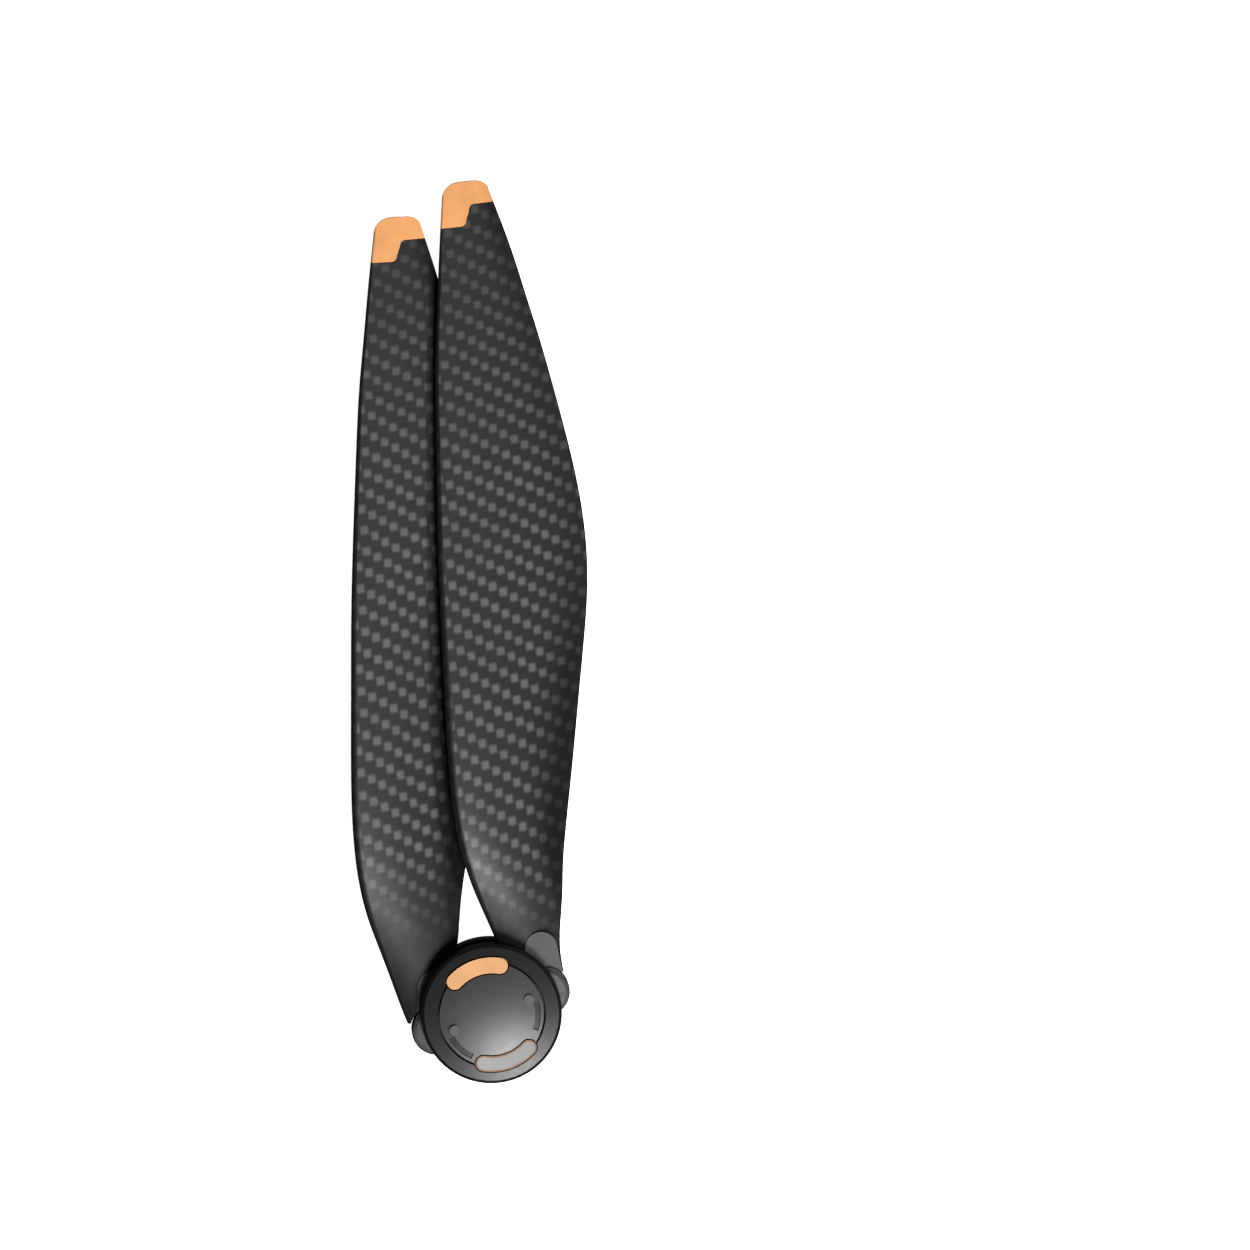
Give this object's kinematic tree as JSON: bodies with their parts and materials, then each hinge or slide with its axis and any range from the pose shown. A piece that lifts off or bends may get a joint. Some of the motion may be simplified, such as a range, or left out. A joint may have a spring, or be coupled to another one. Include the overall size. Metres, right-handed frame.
{
  "type": "folding propeller",
  "caption": "Folding two-blade drone propeller: carbon-weave blades with bright tips hinged in a flat round quick-release hub.",
  "frame": {"origin": "on the spin axis, at the mouth of the motor socket in the underside that sits on the motor", "axes": "+Z along the spin axis away from the motor, +Y the way the folded blades point"},
  "size_m": [0.0328, 0.1242, 0.0096],
  "materials": {
    "carbon_fibre": "satin twill carbon-fibre composite",
    "hub_plastic": "fine matt moulded nylon",
    "cap_plastic": "satin moulded nylon",
    "insert_plastic": "matt glass-filled nylon",
    "orange_plastic": "matt paint and moulded plastic",
    "grey_plastic": "matt moulded plastic",
    "washer_plastic": "low-friction washer plastic",
    "steel": "stainless steel",
    "brass": "turned brass"
  },
  "bodies": {
    "hub": {"hub_base": "hub_plastic", "hub_top_shell": "hub_plastic", "hub_cap": "cap_plastic", "orange_mark": "orange_plastic", "grey_mark_frame": "orange_plastic", "grey_mark": "grey_plastic", "bayonet_plate": "steel", "spindle_bush": "brass", "right_pivot_screw": "steel", "right_pivot_nut": "brass", "left_pivot_screw": "steel", "left_pivot_nut": "brass"},
    "right_arm": {"right_blade": "carbon_fibre", "right_blade_tip": "orange_plastic", "right_root_insert": "insert_plastic", "right_pivot_sleeve": "brass", "right_lower_washer": "washer_plastic", "right_upper_washer": "washer_plastic"},
    "left_arm": {"left_blade": "carbon_fibre", "left_blade_tip": "orange_plastic", "left_root_insert": "insert_plastic", "left_pivot_sleeve": "brass", "left_lower_washer": "washer_plastic", "left_upper_washer": "washer_plastic"}
  },
  "joints": [
    {"name": "right_blade_fold", "type": "hinge", "parent": "hub", "child": "right_arm", "pos_m": [0.00751, 0.00261, 0.0048], "axis": [0, 0, 1], "range_deg": [-182.97, 0]},
    {"name": "left_blade_fold", "type": "hinge", "parent": "hub", "child": "left_arm", "pos_m": [-0.00751, -0.00261, 0.0048], "axis": [0, 0, 1], "range_deg": [0, 182.97]}
  ]
}
